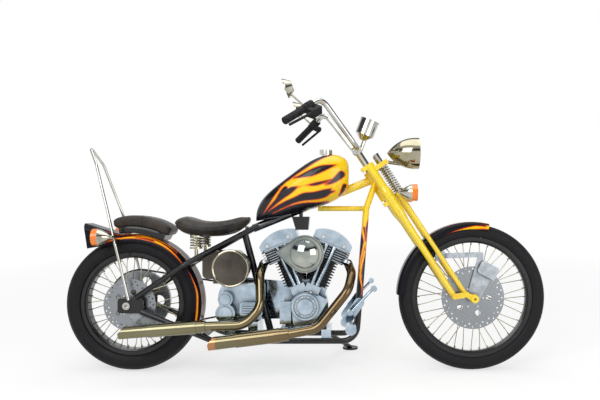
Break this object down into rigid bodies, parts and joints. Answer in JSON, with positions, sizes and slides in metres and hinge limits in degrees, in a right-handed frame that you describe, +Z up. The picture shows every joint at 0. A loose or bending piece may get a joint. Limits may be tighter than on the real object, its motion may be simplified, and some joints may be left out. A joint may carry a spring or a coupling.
{
  "type": "bobber motorcycle",
  "caption": "Bobber motorcycle with a springer fork, vee engine, sprung solo seat and tall sissy bar, leaning on its side stand.",
  "frame": {"origin": "bottom centre of the parked machine's box, on the ground", "axes": "+X towards the front wheel, +Y to the rider's left, +Z up; the machine leans to +Y on its side stand"},
  "size_m": [2.2469, 0.8916, 1.3458],
  "materials": {
    "frame_yellow": "bright yellow gloss paint",
    "frame_black": "black gloss paint, yellow flames on the front tubes",
    "flame_paint": "black gloss paint with yellow to orange flames",
    "chrome": "polished chrome",
    "engine_black": "black engine paint",
    "bare_aluminium": "polished cast aluminium",
    "disc_steel": "ground stainless steel",
    "tyre_rubber": "black tyre rubber",
    "black_rubber": "black rubber",
    "rim_black": "black gloss rim",
    "spoke_chrome": "chrome spokes and hub",
    "black_leather": "black grained leather",
    "lamp_glass": "clear lamp glass",
    "red_lens": "red lens plastic"
  },
  "bodies": {
    "frame": {"air_cleaner": "chrome", "cam_cover": "chrome", "carburettor": "bare_aluminium", "crankcase": "chrome", "cylinder_heads": "bare_aluminium", "cylinders": "engine_black", "drive_belt": "black_rubber", "foot_controls": "chrome", "frame_down_tubes": "frame_black", "frame_rails": "frame_black", "frame_seat_post": "frame_black", "frame_spine": "frame_black", "frame_stays": "frame_black", "front_exhaust": "chrome", "fuel_cap": "chrome", "fuel_tank": "flame_paint", "gearbox": "chrome", "heat_shields": "chrome", "ignition_coil": "engine_black", "oil_tank": "chrome", "pillion_pad": "black_leather", "primary_case": "chrome", "pushrod_tubes": "chrome", "rear_axle": "chrome", "rear_caliper": "bare_aluminium", "rear_exhaust": "chrome", "rear_fender": "flame_paint", "rear_indicators": "chrome", "rider_seat": "black_leather", "rocker_boxes": "chrome", "seat_springs": "chrome", "sissy_bar": "chrome", "tail_lamp": "red_lens"},
    "fork": {"fork_front_legs": "frame_yellow", "fork_rear_legs": "frame_yellow", "fork_rockers": "frame_yellow", "fork_springs": "chrome", "front_caliper": "bare_aluminium", "front_fender": "flame_paint", "front_indicators": "chrome", "grips": "black_rubber", "hand_controls": "engine_black", "handlebar": "chrome", "headlamp": "chrome", "headlamp_lens": "lamp_glass", "mirrors": "chrome", "speedometer": "chrome"},
    "front_wheel": {"front_brake_disc": "disc_steel", "front_hub_and_spokes": "spoke_chrome", "front_rim": "rim_black", "front_tyre": "tyre_rubber"},
    "rear_wheel": {"rear_belt_pulley": "disc_steel", "rear_brake_disc": "disc_steel", "rear_hub_and_spokes": "spoke_chrome", "rear_rim": "rim_black", "rear_tyre": "tyre_rubber"},
    "side_stand": {"side_stand": "chrome"}
  },
  "joints": [
    {"name": "steering", "type": "hinge", "parent": "frame", "child": "fork", "pos_m": [0.2695, -0.00124, 0.96625], "axis": [-0.5446, 0.1167, 0.8305], "range_deg": [-30, 30]},
    {"name": "front_wheel", "type": "hinge", "parent": "fork", "child": "front_wheel", "pos_m": [0.7805, -0.0892, 0.3404], "axis": [0, 0.9903, -0.1392], "continuous": true},
    {"name": "rear_wheel", "type": "hinge", "parent": "frame", "child": "rear_wheel", "pos_m": [-0.8095, -0.09324, 0.31168], "axis": [0, 0.9903, -0.1392], "continuous": true},
    {"name": "side_stand", "type": "hinge", "parent": "frame", "child": "side_stand", "pos_m": [0.0905, 0.03276, 0.13038], "axis": [0, 0.6293, 0.7771], "range_deg": [0, 95]}
  ]
}
